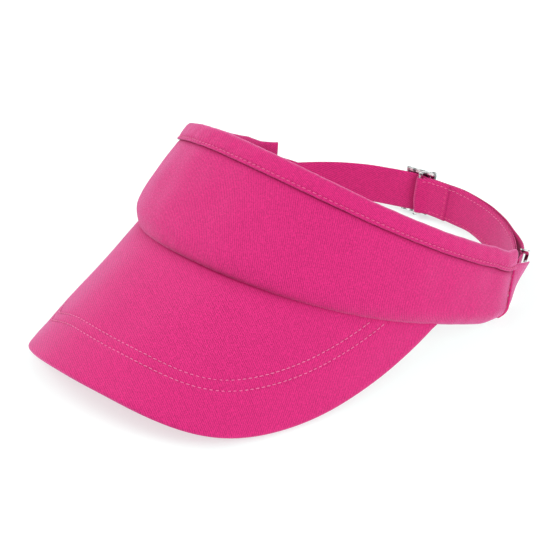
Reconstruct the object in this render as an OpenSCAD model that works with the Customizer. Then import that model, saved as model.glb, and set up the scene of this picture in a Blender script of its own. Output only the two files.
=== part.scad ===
// Sun visor: a stiffened front band with a curved brim, a self-fabric strap at the back,
// a metal cap clasp that sets the size, and a metal hook that keeps the strap's free end.
// Front (brim) points to -Y, the wearer's left is +X, +Z is up. Millimetres.
// Soft pieces are thin shells that follow three surfaces: the band, the brim and the strap cone.

/* [Band] */
// Half width of the band's lower line, side to side
band_half_w = 91.3; // [88:0.1:94]
// Reach of the band's lower line, centre to front
band_reach = 125.6; // [122:0.1:129]
// Reach of the band's ends behind the centre
band_back_reach = 54.6; // [52:0.1:57]
// Squareness of the plan curve, where 2 is an ellipse
band_squareness = 2.2; // [2:0.05:2.3]
// Angle from the front to each end of the band, in degrees
band_end_angle = 112; // [110:1:114]
// Backward tilt of the band, in degrees
band_tilt = 24.1; // [23:0.1:25]
// Inward lean of the panel at the front, as a slope
lean_front = 0.318; // [0.28:0.002:0.34]
// Inward lean of the panel at the sides, as a slope
lean_side = 0.183; // [0.16:0.001:0.2]
// Inward lean at the very back, as a slope
lean_back = -0.05; // [-0.07:0.01:0]
// How far the band's ends stand out, to leave room for the strap
end_flare = 1.4; // [1.2:0.1:1.8]
// How far the panel swells out above its lower seam
swell = 4.5; // [3:0.1:5]
// Top edge heights at 0, 45, 90 degrees and at the end
top_heights = [63.2, 56.8, 42.6, 40.8];
// Lower edge heights at 0, 45, 90 degrees and at the end
low_heights = [0.3, -0.8, 2.6, 4.4];

/* [Brim] */
// Angle from the front to each corner where the brim leaves the band, in degrees
brim_corner_angle = 77.2; // [75:0.2:78]
// Downward slope of the brim's straight lines, in degrees
brim_droop = 26.5; // [24:0.1:28]
// Length of the brim from the line through its corners, before its crown is added
brim_length = 124.4; // [118:0.1:128]
// Extra length at the middle of the front edge
brim_crown = 19.5; // [16:0.1:22]
// Distance of the outer stitch row from the brim's edge
stitch_outer_in = 23; // [21:0.5:24]
// Distance of the inner stitch row from the brim's edge
stitch_inner_in = 28.5; // [27:0.5:31]

/* [Strap] */
// Radius of the strap's middle line
strap_r = 90.4; // [90.2:0.1:90.6]
// Width of the strap and of the tab
strap_w = 19.6; // [19:0.1:19.8]
// Thickness of the strap
strap_t = 1.4; // [1.2:0.1:1.5]
// Thickness of the doubled tab
tab_t = 2; // [1.8:0.1:2.2]
// Outward flare of the strap's upper edge, as a slope
strap_flare = 0.18; // [0.16:0.01:0.2]
// Tilt of the strap's loop, in degrees
strap_tilt = 4; // [3.8:0.1:4.2]

/* [Clasp] */
// Angle of the clasp's middle, measured from the back towards the wearer's left
clasp_angle = -15.5; // [-17:0.5:-14]
// Length of the clasp frame along the strap
clasp_len = 17; // [16.5:0.5:18]
// Thickness of the clasp frame's rails
rail_t = 1.3; // [1.1:0.1:1.5]
// Radius of the hinge pin
pin_r = 0.9; // [0.8:0.05:1]
// Angle of the keeper hook
keeper_angle = 52.3; // [52:0.1:53]
// Thickness of the keeper hook
keeper_wire = 1.7; // [1.5:0.1:1.9]

/* [Hidden] */

// The object's place: its lowest points meet z = 0 and its box is centred on the origin
rest_pitch = 0.58;
rest_lift = 2.55;
rest_shift = 42.315;

// Places of the three surfaces before that
band_centre = [0, 5.3, 7.15];
strap_centre = [0, 2.5, 15.7];

// Fabric layers of the band, as offsets from the panel's outer face
panel_t = 0.8;
layer_gap = 0.15;
lining_t = 0.5;
lining_in = 0.45;
binding_w = 10;
binding_t = 0.8;
sweatband_t = 1.8;
sweatband_h = 30;
stations = 40;

// Brim layers
cover_t = 0.7;
board_t = 1.3;
brim_seam_gap = 0.4;
brim_stations = 36;
brim_side_power = 7.1;
brim_front_power = 2.2;

// Strap runs, as angles from the back
root_angle = 64;
tail_angle = 57;
tab_root_angle = 66;
strap_gap = 0.3;
tab_r = strap_r - strap_t / 2 - strap_gap - tab_t / 2;
tab_bar_angle = -14.4;
tab_bar_r = 1;
tab_loop_r = 1.95;
tab_loop_at = strap_r - strap_t / 2 - strap_gap - 0.1 - tab_loop_r;
thread_r = 0.3;
flare_angle = atan(strap_flare);

pink = [0.88, 0.2, 0.5];
pale_pink = [0.96, 0.45, 0.68];
dark_pink = [0.7, 0.1, 0.35];
board_white = [0.93, 0.93, 0.9];
steel = [0.78, 0.78, 0.8];

// ---------- placing ----------

module place() {
    translate([0, rest_shift, rest_lift]) rotate([rest_pitch, 0, 0]) children();
}

// Axes at the strap: x along it towards the wearer's left, y outwards, z across it
module at_strap(angle, r) {
    translate(strap_centre) rotate([-strap_tilt, 0, 0]) rotate([0, 0, -angle])
        translate([0, r, 0]) rotate([-flare_angle, 0, 0]) children();
}

// ---------- shells ----------

// Closed solid between two grids of points, given as rows of stations
module shell(outer, inner) {
    n = len(outer);
    m = len(outer[0]);
    ring = 2 * m;
    points = [for (i = [0:n - 1]) each concat(outer[i], [for (j = [m - 1:-1:0]) inner[i][j]])];
    walls = [for (i = [0:n - 2]) for (j = [0:ring - 1])
        let (a = i * ring + j, b = i * ring + (j + 1) % ring)
        each [[a, b, b + ring], [a, b + ring, a + ring]]];
    caps = [for (j = [0:m - 2]) let (k = ring - 1 - j, e = (n - 1) * ring)
        each [[j, k, j + 1], [j + 1, k, k - 1],
            [e + j, e + j + 1, e + k], [e + j + 1, e + k - 1, e + k]]];
    polyhedron(points = points, faces = concat(walls, caps), convexity = 6);
}

// Round thread along a list of points, whose rings stand square to the path
module thread(path, r = thread_r, sides = 5) {
    n = len(path);
    rings = [for (i = [0:n - 1])
        let (d = path[min(i + 1, n - 1)] - path[max(i - 1, 0)],
            t = d / norm(d),
            side = cross(t, abs(t[2]) > 0.8 ? [1, 0, 0] : [0, 0, 1]),
            u = side / norm(side),
            v = cross(u, t))
        [for (k = [0:sides - 1]) path[i] + r * (cos(360 * k / sides) * u + sin(360 * k / sides) * v)]];
    points = [for (ring = rings) each ring];
    walls = [for (i = [0:n - 2]) for (k = [0:sides - 1])
        let (a = i * sides + k, b = i * sides + (k + 1) % sides)
        each [[a, b, b + sides], [a, b + sides, a + sides]]];
    first = [for (k = [sides - 1:-1:0]) k];
    last = [for (k = [0:sides - 1]) (n - 1) * sides + k];
    polyhedron(points = points, faces = concat(walls, [first, last]), convexity = 6);
}

// ---------- band surface ----------

function signed_power(v, p) = sign(v) * pow(abs(v), p);

// Smooth even curve through heights at 0, 45 and 90 degrees and at the band's end
function even_curve(t, heights) =
    let (x = t * t, k = [0, 45 * 45, 90 * 90, band_end_angle * band_end_angle])
    heights[0] * (x - k[1]) * (x - k[2]) * (x - k[3]) / ((k[0] - k[1]) * (k[0] - k[2]) * (k[0] - k[3]))
    + heights[1] * (x - k[0]) * (x - k[2]) * (x - k[3]) / ((k[1] - k[0]) * (k[1] - k[2]) * (k[1] - k[3]))
    + heights[2] * (x - k[0]) * (x - k[1]) * (x - k[3]) / ((k[2] - k[0]) * (k[2] - k[1]) * (k[2] - k[3]))
    + heights[3] * (x - k[0]) * (x - k[1]) * (x - k[2]) / ((k[3] - k[0]) * (k[3] - k[1]) * (k[3] - k[2]));

function top_h(t) = even_curve(t, top_heights);
function low_h(t) = even_curve(t, low_heights);
function lean(t) = (abs(t) < 90 ? lean_front : lean_back) * pow(cos(t), 2) + lean_side * pow(sin(t), 2);

// Swelling of the panel a height h above its lower edge
function swell_at(t, h) =
    let (q = max(0, min(1, (h - low_h(t)) / (0.2 * (top_h(t) - low_h(t))))))
    swell * q * (2 - q);

// Point of the band at angle t and height h, moved outwards by off
function band_point(t, h, off) =
    let (reach = abs(t) < 90 ? band_reach : band_back_reach,
        p = [band_half_w * signed_power(sin(t), 2 / band_squareness),
            -reach * signed_power(cos(t), 2 / band_squareness)],
        q = [sin(t) / band_half_w, -cos(t) / reach],
        d = off + swell_at(t, h) - lean(t) * h + end_flare * pow(max(0, (abs(t) - 86) / 26), 2),
        x = p[0] + d * q[0] / norm(q),
        y = p[1] + d * q[1] / norm(q))
    band_centre + [x, y * cos(band_tilt) + h * sin(band_tilt), h * cos(band_tilt) - y * sin(band_tilt)];

function band_angle(i, limit = band_end_angle) = -limit + 2 * limit * i / stations;

// Layer of the band between two heights given as shares of the panel, inset from its edges
module band_layer(out, thickness, low_in, top_in, shares, limit = band_end_angle) {
    outer = [for (i = [0:stations]) let (t = band_angle(i, limit), a = low_h(t) + low_in, b = top_h(t) - top_in)
        [for (s = shares) band_point(t, a + (b - a) * s, out)]];
    inner = [for (i = [0:stations]) let (t = band_angle(i, limit), a = low_h(t) + low_in, b = top_h(t) - top_in)
        [for (s = shares) band_point(t, a + (b - a) * s, out - thickness)]];
    shell(outer, inner);
}

module front_panel() {
    color(pink) place() band_layer(0, panel_t, 0, 1.2, [0, 0.06, 0.2, 0.6, 1]);
}

module panel_lining() {
    color(dark_pink) place()
        band_layer(-panel_t - lining_in, lining_t, 1.5, 2.5, [0, 0.06, 0.2, 0.6, 1], 103);
}

// Tape folded over the top edge
module top_binding() {
    out = layer_gap + binding_t;
    back = -panel_t - lining_in - lining_t - layer_gap - binding_t;
    outer = [for (i = [0:stations]) let (t = band_angle(i), h = top_h(t))
        [band_point(t, h - binding_w, out), band_point(t, h - 0.5, out), band_point(t, h, out - 0.6),
            band_point(t, h, back + 0.6), band_point(t, h - 0.5, back), band_point(t, h - binding_w, back)]];
    inner = [for (i = [0:stations]) let (t = band_angle(i), h = top_h(t))
        [band_point(t, h - binding_w, layer_gap), band_point(t, h - 0.9, layer_gap),
            band_point(t, h - 0.9, layer_gap - 0.1), band_point(t, h - 0.9, back + binding_t + 0.1),
            band_point(t, h - 0.9, back + binding_t), band_point(t, h - binding_w, back + binding_t)]];
    color(pink) place() shell(outer, inner);
}

// Row of stitches along the binding's lower edge
module binding_stitches() {
    out = layer_gap + binding_t + thread_r + 0.05;
    color(pale_pink) place()
        thread([for (i = [0:stations]) let (t = band_angle(i, band_end_angle - 1))
            band_point(t, top_h(t) - binding_w + 1.8, out)]);
}

// Sweatband, which stands further in at the ends, where the strap and the tab run behind it
function sweatband_in(t) = 2.4 + 3.8 * pow(max(0, min(1, (abs(t) - 62) / 22)), 2);
function sweatband_low(t) = low_h(t) + 1.2;

module sweatband() {
    limit = band_end_angle - 2;
    grid = [for (deep = [0, sweatband_t]) [for (i = [0:stations]) let (t = band_angle(i, limit))
        [for (s = [0, 0.1, 0.3, 1]) band_point(t, sweatband_low(t) + sweatband_h * s, -sweatband_in(t) - deep)]]];
    color(pale_pink) place() shell(grid[0], grid[1]);
}

module sweatband_stitches() {
    color(dark_pink) place() thread([for (i = [0:stations]) let (t = band_angle(i, band_end_angle - 4))
        band_point(t, sweatband_low(t) + 3, -sweatband_in(t) - sweatband_t - thread_r - 0.25)]);
}

// ---------- brim ----------

// Direction of the brim's straight lines and its upward normal
brim_dir = [0, -cos(brim_droop), -sin(brim_droop)];
brim_up = [0, -sin(brim_droop), cos(brim_droop)];
function seam_point(t) = band_point(t, low_h(t), 0);
corner = seam_point(brim_corner_angle);

// Length of the brim's straight line that starts at angle t of the seam
function brim_reach(t) =
    let (p = seam_point(t), x = min(1, abs(p[0]) / corner[0]))
    (corner - p) * brim_dir
    + brim_length * pow(1 - pow(x, brim_side_power), 1 / brim_front_power)
    + brim_crown * (1 - x * x);

// Seam angle at a share of the way to a corner, closer together near the corners
function edge_angle(u) = brim_corner_angle * sign(u) * (1 - pow(max(0, 1 - abs(u)), 2.2));
function brim_angle(i) = edge_angle(2 * i / brim_stations - 1);

function brim_point(t, along, up) = seam_point(t) + along * brim_dir + up * brim_up;

// Brim layer between two depths below the top face, inset from its edge
module brim_layer(top, thickness, inset) {
    limit_in = inset / 1.5;
    shares = [0, 0.5, 1];
    grid = [for (deep = [top, top - thickness]) [for (i = [0:brim_stations])
        let (t = brim_angle(i) * (1 - limit_in / 100),
            a = brim_seam_gap + inset * 0.4,
            b = max(a + 0.6, brim_reach(t) - inset))
        [for (s = shares) brim_point(t, a + (b - a) * s, deep)]]];
    shell(grid[1], grid[0]);
}

module brim_board() {
    color(board_white) place() brim_layer(-cover_t - layer_gap, board_t, 2.4);
}

module brim_top_cover() {
    color(pink) place() brim_layer(0, cover_t, 0);
}

module brim_under_cover() {
    color(pink) place() brim_layer(-cover_t - board_t - 2 * layer_gap, cover_t, 0);
}

// The brim laid flat: distance across it, measured along the arch, against the seam's angle
arch_step = 1;
arch_angles = [for (t = [-brim_corner_angle:arch_step:brim_corner_angle + 0.01]) t];
function across(p) = [p[0], p * brim_up];
arch_sums = [for (i = 0, sum = 0; i < len(arch_angles);
    sum = sum + (i + 1 < len(arch_angles)
        ? norm(across(seam_point(arch_angles[i + 1])) - across(seam_point(arch_angles[i]))) : 0),
    i = i + 1) sum];
arch_half = arch_sums[len(arch_sums) - 1] / 2;
angle_to_flat = [for (i = [0:len(arch_angles) - 1]) [arch_angles[i], arch_sums[i] - arch_half]];
flat_to_angle = [for (pair = angle_to_flat) [pair[1], pair[0]]];

// Brim edge laid flat, at a share of the way from the middle to a corner
function flat_edge(u) =
    let (t = edge_angle(u))
    [lookup(t, angle_to_flat), seam_point(t) * brim_dir + brim_reach(t)];

// Point of a row of stitches, square in from the edge point at share u
function stitch_point(u, inset, up) =
    let (step = 0.01,
        d = flat_edge(u + step) - flat_edge(u - step),
        flat = flat_edge(u) + inset * [d[1], -d[0]] / norm(d),
        t = lookup(flat[0], flat_to_angle))
    brim_point(t, flat[1] - seam_point(t) * brim_dir, up);

function row_share(i, count) = 0.985 * (2 * i / count - 1);

// Row of stitches that runs along the edge and ends at the seam
module brim_stitches(inset) {
    count = 60;
    path = [for (i = [0:count]) stitch_point(row_share(i, count), inset, thread_r + 0.2)];
    kept = [for (i = [0:count]) if (abs(path[i][0]) < corner[0] - 4
        && above_seam(path[i])) path[i]];
    color(pale_pink) place() thread(kept);
}

// True where a point of the brim lies clear in front of the seam
function above_seam(p) =
    let (near = [for (t = arch_angles) if (abs(seam_point(t)[0] - p[0]) < 2.5) (p - seam_point(t)) * brim_dir])
    min(near) > 3;

module brim_stitches_outer() {
    brim_stitches(stitch_outer_in);
}

module brim_stitches_inner() {
    brim_stitches(stitch_inner_in);
}

// Thread that joins the brim to the band, just inside the lower edge of the panel
module brim_seam_stitches() {
    color(dark_pink) place() thread([for (i = [0:36]) let (t = (i / 18 - 1) * (brim_corner_angle - 1))
        band_point(t, low_h(t) + 0.2, -panel_t - thread_r - 0.2)]);
}

// ---------- strap loop ----------

// Point of the strap cone at an angle from the back, at radius r and height w across the strap
function strap_point(angle, r, w) =
    let (x = (r + strap_flare * w) * sin(angle), y = (r + strap_flare * w) * cos(angle))
    strap_centre + [x, y * cos(strap_tilt) + w * sin(strap_tilt), w * cos(strap_tilt) - y * sin(strap_tilt)];

// Flat band bent round the strap's axis, from one angle to another
module strap_arc(from, to, r, thickness, width) {
    half = width / 2;
    slope = strap_flare * half;
    translate(strap_centre) rotate([-strap_tilt, 0, 0]) rotate([0, 0, 90 - to])
        rotate_extrude(angle = to - from, $fn = 180)
            polygon([[r - thickness / 2 - slope, -half], [r + thickness / 2 - slope, -half],
                [r + thickness / 2 + slope, half], [r - thickness / 2 + slope, half]]);
}

// Long strap from the wearer's right end, through the clasp, with its free end in the keeper
module strap() {
    color(pink) place() strap_arc(-root_angle, tail_angle, strap_r, strap_t, strap_w);
}

module strap_end_stitches() {
    color(pale_pink) place() thread([for (i = [0:6])
        strap_point(tail_angle - 5, strap_r + strap_t / 2 + thread_r, (i / 3 - 1) * (strap_w / 2 - 2.5))]);
}

// Doubled tab from the wearer's left end, folded round the bar of the clasp
module strap_tab() {
    color(pink) place() difference() {
        union() {
            strap_arc(tab_bar_angle, tab_root_angle, tab_r, tab_t, strap_w);
            at_strap(tab_bar_angle, tab_loop_at)
                cylinder(r = tab_loop_r, h = strap_w * cos(flare_angle) - 0.3, center = true, $fn = 48);
        }
        at_strap(tab_bar_angle, tab_loop_at)
            cylinder(r = tab_bar_r + 0.15, h = 2 * strap_w, center = true, $fn = 48);
    }
}

// Stitches along the tab's upper and lower edges and across the end of its fold
module tab_stitches() {
    face = tab_r - tab_t / 2 - thread_r - 0.02;
    edge = strap_w / 2 - 1.8;
    color(pale_pink) place() {
        for (w = [edge, -edge])
            thread([for (i = [0:18]) strap_point(-11 + i * 3.4, face, w)]);
        thread([for (i = [0:6]) strap_point(-4, face, (i / 3 - 1) * (edge - 1))]);
    }
}

// Mouth of an end piece from its lowest to its highest point, as strap angle, distance outside
// the strap's middle line and height across the strap. The left one stands out, for the free end
left_mouth = [[67, 1.9, -12.5], [61, 2.5, -4.8], [54, 6.2, 6.8]];
right_mouth = [[67, 1.9, -12.5], [62, 1.8, -3], [58, 1.9, 9.2]];
end_wall_t = 0.8;

// Curve through three points at shares 0, 0.5 and 1
function three_point(k, s) =
    k[0] * (1 - s) * (1 - 2 * s) + k[1] * 4 * s * (1 - s) + k[2] * s * (2 * s - 1);

// Piece that closes the band's end: two walls joined along the bottom, open at the back
module end_piece(side) {
    mouth = side > 0 ? left_mouth : right_mouth;
    inner_r = side > 0 ? tab_r - tab_t / 2 - 0.9 : strap_r - strap_t / 2 - 0.4;
    seam = band_end_angle + 0.6;
    inner_mouth_angle = 59;
    rows = [0, 0.25, 0.5, 0.75, 1];
    steps = [0, 0.25, 0.5, 0.75, 1];
    low = low_h(seam) - 0.4;
    high = top_h(seam) - 7.5;
    // Outer wall from the panel's end line to the mouth
    function at_mouth(s, off) =
        let (m = three_point(mouth, s)) strap_point(m[0], strap_r + m[1] + off, m[2]);
    function outer_point(u, s, off) =
        let (bow = 0.8 * sin(180 * u))
        (1 - u) * band_point(seam, low + (high - low) * s, off + bow + 0.6) + u * at_mouth(s, off + bow);
    // Inner wall, against the wearer's head
    function inner_point(u, s, off) =
        (1 - u) * band_point(seam, low + (high - low) * s, off - 7)
        + u * strap_point(inner_mouth_angle, inner_r + off, -12.5 + 21.5 * s);
    outside = [for (u = steps) concat(
        [for (k = [4:-1:0]) outer_point(u, rows[k], 0)],
        [for (k = [0:4]) inner_point(u, rows[k], -end_wall_t)])];
    inside = [for (u = steps) concat(
        [for (k = [4:-1:1]) outer_point(u, rows[k], -end_wall_t)],
        [outer_point(u, 0, -end_wall_t) + [0, 0, end_wall_t]],
        [inner_point(u, 0, 0) + [0, 0, end_wall_t]],
        [for (k = [1:4]) inner_point(u, rows[k], 0)])];
    color(pink) place() mirror([side < 0 ? 1 : 0, 0, 0]) shell(inside, outside);
}

module left_end_piece() {
    end_piece(1);
}

module right_end_piece() {
    end_piece(-1);
}

// Stitches down the seam between the band's end and the end piece
module end_stitches(side) {
    t = band_end_angle - 1.2;
    color(pale_pink) place() mirror([side < 0 ? 1 : 0, 0, 0])
        thread([for (i = [0:10]) let (h = low_h(t) + 2 + i * (top_h(t) - low_h(t) - binding_w - 4) / 10)
            band_point(t, h, thread_r + 0.05)]);
}

module left_end_stitches() {
    end_stitches(1);
}

module right_end_stitches() {
    end_stitches(-1);
}

// ---------- clasp ----------

tab_bar_x = tab_loop_at * sin(tab_bar_angle - clasp_angle);
tab_bar_y = tab_loop_at * cos(tab_bar_angle - clasp_angle) - strap_r;
rail_in = strap_w / 2 + 0.6;
rail_low = strap_t / 2 + 0.4;
rail_high = rail_low + 1.5;
arm_w = 2.4;
end_bar_r = 0.8;
pin_x = clasp_len / 2 - 2.2;
pin_y = strap_t / 2 + 3.3;
knuckle_r = pin_r + 0.9;
pin_clear = 0.05;

// Rails behind the strap's edges, with lugs for the pin, an end bar, and arms that reach round the
// edges to the bar that the tab is folded on
module clasp_frame() {
    color(steel) place() at_strap(clasp_angle, strap_r) difference() {
        union() {
            for (side = [-1, 1]) {
                translate([0, 0, side * (rail_in + rail_t / 2)]) {
                    translate([-clasp_len / 2, rail_low, -rail_t / 2])
                        cube([clasp_len, rail_high - rail_low, rail_t]);
                    translate([pin_x, pin_y, 0]) cylinder(r = knuckle_r, h = rail_t, center = true, $fn = 48);
                    translate([pin_x - knuckle_r, rail_low, -rail_t / 2])
                        cube([2 * knuckle_r, pin_y - rail_low, rail_t]);
                    translate([tab_bar_x - arm_w / 2, tab_bar_y, -rail_t / 2])
                        cube([arm_w, rail_high - tab_bar_y, rail_t]);
                    translate([tab_bar_x, tab_bar_y, 0])
                        cylinder(r = arm_w / 2, h = rail_t, center = true, $fn = 48);
                }
            }
            translate([tab_bar_x, tab_bar_y, 0])
                cylinder(r = tab_bar_r, h = 2 * rail_in + rail_t, center = true, $fn = 48);
            translate([-clasp_len / 2 + end_bar_r, rail_high - end_bar_r, 0])
                cylinder(r = end_bar_r - 0.1, h = 2 * rail_in + rail_t, center = true, $fn = 48);
        }
        translate([pin_x, pin_y, 0])
            cylinder(r = pin_r + pin_clear, h = 4 * rail_in, center = true, $fn = 48);
    }
}

module clasp_pin() {
    color(steel) place() at_strap(clasp_angle, strap_r) translate([pin_x, pin_y, 0])
        cylinder(r = pin_r, h = 2 * (rail_in + rail_t), center = true, $fn = 48);
}

// Cover plate that swings out on the pin, with a knuckle, a finger lip and a row of teeth
module clasp_lever() {
    plate_low = rail_high + 0.3;
    plate_t = 1.1;
    knuckle_half = rail_in - 0.3;
    plate_half = rail_in + rail_t;
    color(steel) place() at_strap(clasp_angle, strap_r) difference() {
        union() {
            translate([pin_x, pin_y, 0])
                cylinder(r = knuckle_r, h = 2 * knuckle_half, center = true, $fn = 48);
            translate([-clasp_len / 2, plate_low, -knuckle_half])
                cube([pin_x + clasp_len / 2, plate_t, 2 * knuckle_half]);
            translate([-clasp_len / 2, plate_low, -plate_half])
                cube([clasp_len - 6, plate_t, 2 * plate_half]);
            translate([-clasp_len / 2, plate_low + plate_t, 0])
                cylinder(r = plate_t, h = 2 * plate_half, center = true, $fn = 48);
            for (k = [-2:2])
                translate([pin_x - 3.4, strap_t / 2 + 0.55, k * 3.4 - 0.6]) cube([1, 2.2, 1.2]);
        }
        translate([pin_x, pin_y, 0])
            cylinder(r = pin_r + pin_clear, h = 4 * rail_in, center = true, $fn = 48);
    }
}

// Metal hook over the strap's upper edge, whose foot is held inside the mouth of the left end piece
module keeper_clip() {
    gap = 3.2;
    foot_low = 0;
    foot_h = 3;
    foot_len = 3;
    foot_t = 1;
    half = strap_w / 2 + 1;
    w = keeper_wire;
    color(steel) place() at_strap(keeper_angle, strap_r) {
        translate([-w / 2, gap, foot_low]) cube([w, w, half + w - foot_low]);
        translate([-w / 2, 0, half]) cube([w, gap + w, w]);
        translate([0, gap, foot_low]) cube([foot_len, foot_t, foot_h]);
    }
}

front_panel();
panel_lining();
top_binding();
binding_stitches();
sweatband();
sweatband_stitches();
brim_board();
brim_top_cover();
brim_under_cover();
brim_stitches_outer();
brim_stitches_inner();
brim_seam_stitches();
left_end_piece();
right_end_piece();
left_end_stitches();
right_end_stitches();
strap_tab();
tab_stitches();
strap();
strap_end_stitches();
clasp_frame();
clasp_pin();
clasp_lever();
keeper_clip();
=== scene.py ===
"""Looks of the sun visor: drill fabric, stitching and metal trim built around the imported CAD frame."""
import math

import bpy
import numpy as np
from mathutils import Matrix, Vector


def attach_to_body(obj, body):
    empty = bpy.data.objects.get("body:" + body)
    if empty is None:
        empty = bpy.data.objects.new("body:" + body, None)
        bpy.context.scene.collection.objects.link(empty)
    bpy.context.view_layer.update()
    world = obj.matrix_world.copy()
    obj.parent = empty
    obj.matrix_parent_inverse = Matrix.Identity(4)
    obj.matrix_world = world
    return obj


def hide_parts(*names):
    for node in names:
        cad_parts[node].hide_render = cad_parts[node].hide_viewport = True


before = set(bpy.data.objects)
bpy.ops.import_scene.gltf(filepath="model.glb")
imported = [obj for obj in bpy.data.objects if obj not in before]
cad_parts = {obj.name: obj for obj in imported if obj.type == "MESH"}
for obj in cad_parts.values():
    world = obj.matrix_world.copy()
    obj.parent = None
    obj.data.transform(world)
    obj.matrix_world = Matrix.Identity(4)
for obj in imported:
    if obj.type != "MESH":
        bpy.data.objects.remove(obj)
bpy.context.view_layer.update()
rng = np.random.default_rng(7)
MM = 0.001

# ---------------------------------------------------------------- driving values in mm and degrees, as in the CAD

# How the drawing lies down on the ground
REST_PITCH, REST_LIFT, REST_SHIFT = 0.58, 2.55, 42.315
# Band: plan, ends, the lean and swell of its wall, and its edges' heights at 0, 45, 90 degrees and the end
BAND_CENTRE = np.array([0, 5.3, 7.15])
BAND_HALF_W, BAND_REACH, BAND_BACK_REACH = 91.3, 125.6, 54.6
BAND_SQUARENESS, BAND_END, BAND_TILT = 2.2, 112.0, 24.1
LEAN_FRONT, LEAN_SIDE, LEAN_BACK = 0.318, 0.183, -0.05
END_FLARE, FLARE_FROM = 1.4, 86.0
SWELL = 4.5
TOP_HEIGHTS = (63.2, 56.8, 42.6, 40.8)
LOW_HEIGHTS = (0.3, -0.8, 2.6, 4.4)
PANEL_T, LINING_GAP, LINING_T = 0.8, 0.45, 0.5
BINDING_W = 10.0
SWEATBAND_W, SWEATBAND_T, SWEATBAND_UP = 30, 1.5, 1.2
# Brim: its corners on the seam, droop, length and outline, its thickness, and how far in the stitch rows run
BRIM_CORNER, BRIM_DROOP = 77.2, 26.5
BRIM_LENGTH, BRIM_CROWN = 124.4, 19.5
BRIM_SIDE_POWER, BRIM_FRONT_POWER = 7.1, 2.2
BRIM_T, BOARD_IN = 3.0, 2.2
STITCH_ROWS_IN = (23.0, 28.5)
STITCH_PITCH = 2.9
# Strap and tab: the cone they lie on, their sizes, and where they begin and end, in degrees from the back
STRAP_CENTRE = np.array([0, 2.5, 15.7])
STRAP_R, STRAP_W, STRAP_T, TAB_T = 90.4, 19.6, 1.4, 2.0
STRAP_FLARE, STRAP_TILT, STRAP_GAP = 0.18, 4.0, 0.3
TAB_R = STRAP_R - STRAP_T / 2 - STRAP_GAP - TAB_T / 2
ROOT_ANGLE, TAIL_ANGLE, TAB_ROOT_ANGLE = 64.0, 57.0, 66.0
TAB_BAR_ANGLE, TAB_FOLD_TO, TAB_PLY = -14.4, -2.4, 0.95
# Mouths of the two end pieces: angle, distance past the strap's radius and height, at three places
LEFT_MOUTH = ((67, 1.6, -8.6), (61, 2.7, -2.6), (54, 6.4, 6.6))
RIGHT_MOUTH = ((67, 1.9, -12.5), (62, 1.8, -3), (58, 1.9, 9.2))
INNER_MOUTH_ANGLE = 59.0

# ---------------------------------------------------------------- surfaces


def turn_x(points, degrees):
    """Points turned about the X axis."""
    c, s = math.cos(math.radians(degrees)), math.sin(math.radians(degrees))
    x, y, z = points[..., 0], points[..., 1], points[..., 2]
    return np.stack([x, c * y - s * z, s * y + c * z], -1)


def place(points):
    """From the drawing's place in mm to the row frame in metres."""
    return (turn_x(np.asarray(points, float), REST_PITCH) + [0, REST_SHIFT, REST_LIFT]) * MM


def even_curve(t, heights):
    """Smooth even curve through heights at 0, 45, 90 degrees and at the band's end."""
    x, k = t * t, [0.0, 45.0 ** 2, 90.0 ** 2, BAND_END ** 2]
    total = 0.0
    for i in range(4):
        term = heights[i]
        for j in range(4):
            if j != i:
                term = term * (x - k[j]) / (k[i] - k[j])
        total = total + term
    return total


def bump_at(x, centre, width):
    """Bell of height 1 round a centre."""
    return np.exp(-((np.asarray(x, float) - centre) / width) ** 2)


def ramp(x, a, b):
    """Smooth step from 0 at a to 1 at b."""
    q = np.clip((np.asarray(x, float) - a) / (b - a), 0, 1)
    return q * q * (3 - 2 * q)


def top_h(t):
    """Height of the top edge, with the worn-in sag of this one: lower on the wearer's right front."""
    t = np.asarray(t, float)
    sag = 2.0 * bump_at(t, -52, 24) + 0.5 * bump_at(t, 60, 22) - 1.0 * bump_at(t, -114, 12)
    return even_curve(t, TOP_HEIGHTS) - sag


def low_h(t):
    """Height of the band's lower edge."""
    t = np.asarray(t, float)
    return even_curve(t, LOW_HEIGHTS) - 0.7 * bump_at(t, 93, 11)


def worn_bulge(t, share):
    """How far the wearer's right front bellies out in the middle and leans in at the top."""
    belly = 2.1 * bump_at(share, 0.33, 0.3) * ramp(share, 0, 0.15)
    return bump_at(t, -46, 26) * (belly - 1.7 * ramp(share, 0.55, 1.0))


def signed_power(v, p):
    """Power that keeps the sign."""
    return np.sign(v) * np.abs(v) ** p


def band_point(t, h, off):
    """Point of the band at angle t and height h, moved outwards by off."""
    t, h, off = np.broadcast_arrays(np.asarray(t, float), np.asarray(h, float), np.asarray(off, float))
    a = np.radians(t)
    front = np.abs(t) < 90
    reach = np.where(front, BAND_REACH, BAND_BACK_REACH)
    lean = np.where(front, LEAN_FRONT, LEAN_BACK) * np.cos(a) ** 2 + LEAN_SIDE * np.sin(a) ** 2
    q = np.clip((h - low_h(t)) / (0.2 * (top_h(t) - low_h(t))), 0, 1)
    share = np.clip((h - low_h(t)) / (top_h(t) - low_h(t)), 0, 1)
    flare = END_FLARE * np.maximum(0, (np.abs(t) - FLARE_FROM) / (BAND_END - FLARE_FROM)) ** 2
    d = off + worn_bulge(t, share) + SWELL * q * (2 - q) - lean * h + flare
    px = BAND_HALF_W * signed_power(np.sin(a), 2 / BAND_SQUARENESS)
    py = -reach * signed_power(np.cos(a), 2 / BAND_SQUARENESS)
    qx, qy = np.sin(a) / BAND_HALF_W, -np.cos(a) / reach
    n = np.hypot(qx, qy)
    return BAND_CENTRE + turn_x(np.stack([px + d * qx / n, py + d * qy / n, h], -1), -BAND_TILT)


BRIM_DIR = np.array([0, -math.cos(math.radians(BRIM_DROOP)), -math.sin(math.radians(BRIM_DROOP))])
BRIM_UP = np.array([0, -math.sin(math.radians(BRIM_DROOP)), math.cos(math.radians(BRIM_DROOP))])


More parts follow.
